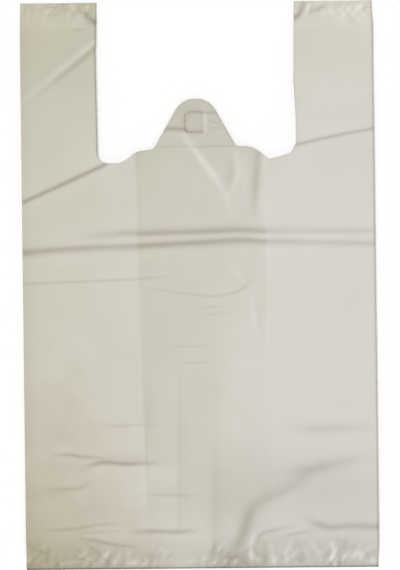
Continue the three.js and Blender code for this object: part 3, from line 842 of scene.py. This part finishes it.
def plies_behind(points):
    """1 where the gusset plies back the panel, and a lower tone in the middle, which has none behind it,
    least on its left.
    """
    x, y = points[:, 0], points[:, 1]
    left_fold = LEFT_FOLD_X - LEFT_FOLD_SLOPE * y
    right_fold = np.minimum(RIGHT_FOLD_X, RIGHT_FOLD_X - RIGHT_FOLD_SLOPE * (y - RIGHT_FOLD_BEND_Y))
    backed = smooth((left_fold - x) / BACKING_EDGE + 0.5) + smooth((x - right_fold) / BACKING_EDGE + 0.5)
    across = np.clip((x - left_fold) / (right_fold - left_fold), 0, 1)
    low = ramp(y, *LOW_Y)
    belt = ramp(y, *BELT_TOP_Y) * ramp(y, *BELT_FOOT_Y) * ramp(across, *BELT_ACROSS)
    strip_right = STRIP_RIGHT_X + STRIP_RIGHT_SLOPE * y
    strip = ramp(x, *STRIP_LEFT_X) * smooth((strip_right - x) / STRIP_RIGHT_WIDE) * ramp(y, *STRIP_FOOT_Y)
    middle = ACROSS_SHARE * across + LOW_SHARE * low + BELT_SHARE * belt - STRIP_SHARE * low * strip
    middle += FOOT_SHARE * ramp(y, *FOOT_Y)
    return np.clip(np.maximum(backed, middle), 0, 1)


class Film:
    """Collects the plies and folds of the sheet, with the painted shade and highlight of each vertex."""

    def __init__(self):
        self.points = []
        self.faces = []
        self.tones = []
        self.backing = []
        self.count = 0

    def add(self, points, faces, tones, backing):
        start = self.count
        self.points.append(points)
        self.faces.append(np.asarray(faces) + start)
        self.tones.append(tones)
        self.backing.append(backing)
        self.count += len(points)

    def ply(self, flat, faces, heights, tone, backing, up):
        turned = faces if up else faces[:, ::-1]
        self.add(np.column_stack([flat, heights]), turned, tone, backing)

    def fold(self, x, way, y, upper, lower, tone, up):
        """A half-round fold along x, bulging that way, from the upper ply's edge to the lower one's."""
        turns = np.linspace(0, np.pi, FOLD_STEPS + 1)
        middle = (upper + lower) / 2
        radius = (upper - lower) / 2
        bulge = FOLD_REACH * np.minimum(1, radius / FOLD_REACH)
        grid = []
        for t in turns:
            grid.append(np.column_stack([x + way * bulge * math.sin(t), y, middle + radius * math.cos(t)]))
        count = len(y)
        faces = []
        for i in range(FOLD_STEPS):
            for j in range(count - 1):
                a, b = i * count + j, i * count + j + 1
                c, d = a + count, b + count
                pair = [(a, c, b), (b, c, d)]
                faces += pair if up else [face[::-1] for face in pair]
        tones = np.tile(tone, FOLD_STEPS + 1)
        self.add(np.vstack(grid), faces, tones, np.ones(len(tones)))


def side_values(flat, heights, tone, x):
    """Heights and tones along a ply's edge at x, from the bottom up."""
    on_edge = np.flatnonzero(np.abs(flat[:, 0] - x) < ON_EDGE)
    on_edge = on_edge[np.argsort(flat[on_edge, 1])]
    return flat[on_edge, 1], heights[on_edge], tone[on_edge]


# Share of the front's painted shade and highlight that the hidden plies keep
BACK_TONE = 0.6
GUSSET_TONE = 0.5


def front_points():
    """Rows of points along the creases, the mouth and the outer edges of the front panel."""
    fine_rows = rows(THROUGH_CREASES + FRONT_CREASES, ROW_STEP, ROW_OFFSETS)
    hem = rows([Crease(MOUTH_LINE, 0, 1, 1)], EDGE_STEP, HEM_OFFSETS)
    lines = []
    for inset in EDGE_INSETS:
        side, end = SIDE - inset, HALF_HEIGHT - inset
        for x in (side, -side):
            lines.append(straight((x, -HALF_HEIGHT), (x, HALF_HEIGHT), SIDE_ROW_STEP))
        for y in (-end, end):
            lines.append(straight((-SIDE, y), (SIDE, y), EDGE_STEP))
    points = np.vstack([hem, *lines, fine_rows])
    clear = np.abs(points[:, 0]) < SIDE - EDGE_CLEARANCE
    clear &= np.abs(points[:, 1]) < HALF_HEIGHT - EDGE_CLEARANCE
    return points[clear]


def front_ply(film):
    """The front panel, finely meshed, with the hanging hole."""
    net = filler(OPEN_STEP, FINE_STEP)
    flat, faces = triangulate(panel_outline(EDGE_STEP), [hole_cut()], front_points(), net, FINE_GAP)
    heights, tone = ply_heights(flat, FRONT)
    heights += flap_lift(flat)
    tone += edge_tone(flat)
    film.ply(flat, faces, heights, tone, plies_behind(flat), True)
    return flat, heights, tone


def back_ply(film, through, net):
    """The back panel, which lies on the floor."""
    flat, faces = triangulate(panel_outline(COARSE_EDGE_STEP), [], through, net, COARSE_GAP)
    heights, tone = ply_heights(flat, BACK)
    shown = tone * BACK_TONE + edge_tone(flat) * BACK_TONE
    film.ply(flat, faces, heights, shown, plies_behind(flat), False)
    return flat, heights, tone


def gusset_plies(film, side, through, net, front, back):
    """Both plies of a gusset, the folds that join them to the panels and the inner fold between them."""
    flat, faces = triangulate(gusset_outline(side, COARSE_EDGE_STEP), [], through, net, COARSE_GAP)
    upward = flat[faces]
    turn = np.cross(upward[:, 1] - upward[:, 0], upward[:, 2] - upward[:, 0])
    faces = np.where((turn > 0)[:, None], faces, faces[:, ::-1])
    upper, tone = ply_heights(flat, UPPER)
    lower, _ = ply_heights(flat, LOWER)
    whole = np.ones(len(flat))
    film.ply(flat, faces, upper, tone * GUSSET_TONE, whole, False)
    film.ply(flat, faces, lower, tone * GUSSET_TONE, whole, True)
    y, front_edge, front_tone = side_values(*front, side * SIDE)
    _, upper_edge, _ = side_values(flat, upper, tone, side * SIDE)
    _, lower_edge, _ = side_values(flat, lower, tone, side * SIDE)
    _, back_edge, back_tone = side_values(*back, side * SIDE)
    film.fold(side * SIDE, side, y, front_edge, upper_edge, front_tone, side > 0)
    film.fold(side * SIDE, side, y, lower_edge, back_edge, back_tone, side > 0)
    y, upper_edge, inner_tone = side_values(flat, upper, tone, side * INNER)
    _, lower_edge, _ = side_values(flat, lower, tone, side * INNER)
    film.fold(side * INNER, -side, y, upper_edge, lower_edge, inner_tone, side > 0)


def build_film():
    """The whole folded sheet as one mesh object."""
    film = Film()
    front = front_ply(film)
    through = rows(THROUGH_CREASES, COARSE_ROW_STEP, COARSE_ROW_OFFSETS)
    through = through[np.abs(through[:, 0]) < SIDE - COARSE_CLEARANCE]
    net = filler(COARSE_STEP, COARSE_STEP)
    back = back_ply(film, through, net)
    for side in (1, -1):
        gusset_plies(film, side, through, net, front, back)
    return film_object(film)


# Points closer together than this, in metres, are one point
SAME_PLACE = 1e-7


def film_object(film):
    """The mesh of the collected plies, with its doubled edge points joined and its painted tones kept."""
    points = np.vstack(film.points) * MM
    points[:, 0] -= LEAN * points[:, 1]
    faces = np.vstack(film.faces)
    tones = np.concatenate(film.tones)
    backing = np.concatenate(film.backing)
    places = np.round(points / SAME_PLACE)
    _, first, merged = np.unique(places, axis=0, return_index=True, return_inverse=True)
    faces = merged.reshape(-1)[faces]
    mesh = bpy.data.meshes.new("carrier_bag_film")
    mesh.from_pydata(points[first].tolist(), [], faces.tolist())
    mesh.validate()
    mesh.update()
    # The painted shade and highlight, with the weld's own darker film, go to the material as an attribute
    for name, values in (("painted_light_and_marks", tones[first]), ("backing", backing[first])):
        mesh.attributes.new(name, "FLOAT", "POINT").data.foreach_set("value", values.astype(np.float32))
    mesh.polygons.foreach_set("use_smooth", [True] * len(mesh.polygons))
    bag = bpy.data.objects.new("carrier_bag_film", mesh)
    bpy.context.collection.objects.link(bag)
    body = bag.modifiers.new("film thickness", "SOLIDIFY")
    body.thickness = FILM_THICKNESS * MM
    body.offset = 0.0
    return bag


# Film colours, as linear light: over the gussets, in the single middle, on the left, low on the left, in a
# painted highlight, partly where stress has whitened it, and in painted shade
FILM_PALE = (0.678, 0.648, 0.597, 1.0)
FILM_MIDDLE = (0.602, 0.576, 0.513, 1.0)
FILM_OLIVE = (0.535, 0.517, 0.395, 1.0)
FILM_BROWNER = (0.490, 0.445, 0.325, 1.0)
FILM_HIGHLIGHT_AND_WHITENED = (0.760, 0.735, 0.715, 1.0)
FILM_SHADED = (0.080, 0.050, 0.000, 1.0)

# Spread of the olive and the browned film, for each metre across or up the bag, and the blotches in them. A
# cloud is the scale and the detail of a noise texture
OLIVE_ACROSS = -2.7
OLIVE_START = 0.15
OLIVE_UP = 8.0
BROWN_LOW_LEFT = 32.0
BROWN_START = 0.2
BLOTCH_CLOUD = (24.0, 3.0)
BLOTCH_SHARE = 0.38
HIGHLIGHT_AND_WHITENING = -5.0

# Fine mottle, sheen and crinkle
MOTTLE_CLOUD = (60.0, 4.0)
MOTTLE_SWING = 0.06
MOTTLE_LEAST = 0.97
ROUGH_CLOUD = (90.0, 2.0)
ROUGH_SWING = 0.14
ROUGH_LEAST = 0.36
SPECULAR = 0.4
CRINKLE_CLOUD = (220.0, 5.0)
CRINKLE_STRENGTH = 0.12
CRINKLE_DEPTH = 0.0004


class Nodes:
    """Shorthands for building a node tree."""

    def __init__(self, tree):
        self.tree = tree

    def add(self, kind, **settings):
        node = self.tree.nodes.new(kind)
        for name, value in settings.items():
            setattr(node, name, value)
        return node

    def link(self, source, target):
        self.tree.links.new(source, target)

    def math(self, operation, a, b):
        node = self.add("ShaderNodeMath", operation=operation)
        for socket, value in zip(node.inputs, (a, b)):
            if isinstance(value, (int, float)):
                socket.default_value = value
            else:
                self.link(value, socket)
        return node.outputs[0]

    def mix(self, factor, a, b, blend="MIX"):
        node = self.add("ShaderNodeMix", data_type="RGBA", blend_type=blend)
        for socket, value in ((node.inputs[0], factor), (node.inputs[6], a), (node.inputs[7], b)):
            if isinstance(value, (int, float, tuple)):
                socket.default_value = value
            else:
                self.link(value, socket)
        return node.outputs[2]


def film_material():
    """Milky polyethylene film: paler over more plies, darker and browner low on the left, finely crinkled,
    with painted shade and highlight.
    """
    material = bpy.data.materials.new("milky_film")
    material.use_nodes = True
    nodes = Nodes(material.node_tree)
    shader = material.node_tree.nodes["Principled BSDF"]
    place = nodes.add("ShaderNodeTexCoord").outputs["Object"]
    split = nodes.add("ShaderNodeSeparateXYZ")
    nodes.link(place, split.inputs[0])
    backing = nodes.add("ShaderNodeAttribute", attribute_name="backing").outputs["Fac"]
    # Painted shade and highlight of the creases, wrinkles and edges
    tone = nodes.add("ShaderNodeAttribute", attribute_name="painted_light_and_marks").outputs["Fac"]

    def cloud(scale, detail):
        made = nodes.add("ShaderNodeTexNoise")
        made.inputs["Scale"].default_value = scale
        made.inputs["Detail"].default_value = detail
        nodes.link(place, made.inputs["Vector"])
        return made.outputs["Fac"]

    def part(factor, a, b):
        held = nodes.add("ShaderNodeClamp")
        nodes.link(factor, held.inputs["Value"])
        return nodes.mix(held.outputs["Result"], a, b)

    def scaled(value, factor, start):
        return nodes.math("ADD", nodes.math("MULTIPLY", value, factor), start)

    # Olive to the left and up the handles, browner low on the left, both in blotches
    colour = nodes.mix(backing, FILM_MIDDLE, FILM_PALE)
    across, along = split.outputs["X"], split.outputs["Y"]
    high = nodes.math("MAXIMUM", along, 0.0)
    low = nodes.math("MAXIMUM", nodes.math("MULTIPLY", along, -1.0), 0.0)
    left = nodes.math("MAXIMUM", nodes.math("MULTIPLY", across, -1.0), 0.0)
    blotch = nodes.math("MULTIPLY", nodes.math("SUBTRACT", cloud(*BLOTCH_CLOUD), 0.5), BLOTCH_SHARE)
    olive = scaled(across, OLIVE_ACROSS, OLIVE_START)
    up_handle = nodes.math("MULTIPLY", nodes.math("MULTIPLY", high, high), OLIVE_UP)
    olive = nodes.math("ADD", olive, up_handle)
    colour = part(nodes.math("ADD", olive, blotch), colour, FILM_OLIVE)
    low_left = nodes.math("MULTIPLY", nodes.math("MULTIPLY", left, low), BROWN_LOW_LEFT)
    brown = nodes.math("SUBTRACT", low_left, BROWN_START)
    colour = part(nodes.math("ADD", brown, blotch), colour, FILM_BROWNER)
    # Painted highlight where the tone is below zero, partly stress-whitened film, and painted shade above
    # zero
    colour = part(nodes.math("MULTIPLY", tone, HIGHLIGHT_AND_WHITENING), colour, FILM_HIGHLIGHT_AND_WHITENED)
    colour = part(tone, colour, FILM_SHADED)
    mottle = scaled(cloud(*MOTTLE_CLOUD), MOTTLE_SWING, MOTTLE_LEAST)
    grey = nodes.add("ShaderNodeCombineColor")
    for socket in grey.inputs:
        nodes.link(mottle, socket)
    nodes.link(nodes.mix(1.0, colour, grey.outputs[0], "MULTIPLY"), shader.inputs["Base Color"])

    rough = scaled(cloud(*ROUGH_CLOUD), ROUGH_SWING, ROUGH_LEAST)
    nodes.link(rough, shader.inputs["Roughness"])
    shader.inputs["Specular IOR Level"].default_value = SPECULAR
    crinkle = nodes.add("ShaderNodeBump")
    crinkle.inputs["Strength"].default_value = CRINKLE_STRENGTH
    crinkle.inputs["Distance"].default_value = CRINKLE_DEPTH
    nodes.link(cloud(*CRINKLE_CLOUD), crinkle.inputs["Height"])
    nodes.link(crinkle.outputs["Normal"], shader.inputs["Normal"])
    return material


# Floor, in metres, and what makes it white
FLOOR_HALF = 3.0
FLOOR_COLOUR = (0.9, 0.9, 0.9, 1)
FLOOR_GLOW = 0.11


def build_floor():
    """A white floor that keeps the bag's shadow."""
    size = FLOOR_HALF
    mesh = bpy.data.meshes.new("floor")
    corners = [(-size, -size, 0), (size, -size, 0), (size, size, 0), (-size, size, 0)]
    mesh.from_pydata(corners, [], [(0, 1, 2, 3)])
    floor = bpy.data.objects.new("floor", mesh)
    bpy.context.collection.objects.link(floor)
    material = bpy.data.materials.new("white_floor")
    material.use_nodes = True
    nodes = Nodes(material.node_tree)
    material.node_tree.nodes.remove(material.node_tree.nodes["Principled BSDF"])
    diffuse = nodes.add("ShaderNodeBsdfDiffuse")
    diffuse.inputs["Color"].default_value = FLOOR_COLOUR
    glow = nodes.add("ShaderNodeEmission")
    ray = nodes.add("ShaderNodeLightPath").outputs
    seen = nodes.math("MAXIMUM", ray["Is Camera Ray"], ray["Is Glossy Ray"])
    seen = nodes.math("MAXIMUM", seen, ray["Is Transmission Ray"])
    nodes.link(nodes.math("MULTIPLY", seen, FLOOR_GLOW), glow.inputs["Strength"])
    both = nodes.add("ShaderNodeAddShader")
    nodes.link(diffuse.outputs[0], both.inputs[0])
    nodes.link(glow.outputs[0], both.inputs[1])
    nodes.link(both.outputs[0], material.node_tree.nodes["Material Output"].inputs["Surface"])
    mesh.materials.append(material)


# Light: the dome's share of it and colour, the white that the camera sees past the floor, and the way to
# the key lamp that gives the rest and how wide it looks
DOME_SHARE = 0.5
DOME_COLOUR = (1.0, 0.99, 0.97, 1)
SEEN_WHITE = 1.1
TO_KEY = Vector((-0.26, 0.44, 0.86)).normalized()
KEY_ANGLE = 0.45


def build_lights():
    """A soft key from the upper left and an even dome, at a level where colours render as written."""
    world = bpy.data.worlds.new("studio")
    bpy.context.scene.world = world
    world.use_nodes = True
    nodes = Nodes(world.node_tree)
    sky = world.node_tree.nodes["Background"]
    sky.inputs["Color"].default_value = DOME_COLOUR
    seen = nodes.add("ShaderNodeLightPath").outputs["Is Camera Ray"]
    strength = nodes.math("ADD", nodes.math("MULTIPLY", seen, SEEN_WHITE - DOME_SHARE), DOME_SHARE)
    nodes.link(strength, sky.inputs["Strength"])
    lamp = bpy.data.lights.new("key", "SUN")
    lamp.angle = KEY_ANGLE
    lamp.energy = (1 - DOME_SHARE) * math.pi / TO_KEY.z
    key = bpy.data.objects.new("key", lamp)
    bpy.context.collection.objects.link(key)
    key.rotation_euler = (-TO_KEY).to_track_quat("-Z", "Y").to_euler()


# Camera, in metres: its height, what it shows from top to bottom at the bag's own level, its place across
# and its turn
CAMERA_HEIGHT = 2.4
VIEW_HEIGHT = 0.4824
BAG_LEVEL = 0.004
CAMERA_X = 0.00063
CAMERA_TURN = math.radians(-0.54)
SENSOR = 24.0


def build_camera():
    """Straight above the bag, turned so that the bag leans as it does in the picture."""
    data = bpy.data.cameras.new("camera")
    data.sensor_fit = "VERTICAL"
    data.sensor_height = SENSOR
    data.sensor_width = SENSOR
    data.lens = SENSOR * (CAMERA_HEIGHT - BAG_LEVEL) / VIEW_HEIGHT
    camera = bpy.data.objects.new("camera", data)
    bpy.context.collection.objects.link(camera)
    camera.location = (CAMERA_X, 0.0, CAMERA_HEIGHT)
    camera.rotation_euler = (0, 0, CAMERA_TURN)
    bpy.context.scene.camera = camera


bag = build_film()
bag.data.materials.append(film_material())
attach(bag, "root")
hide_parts("carrier_bag")

build_floor()
build_lights()
build_camera()
bpy.context.scene.view_settings.view_transform = "Standard"
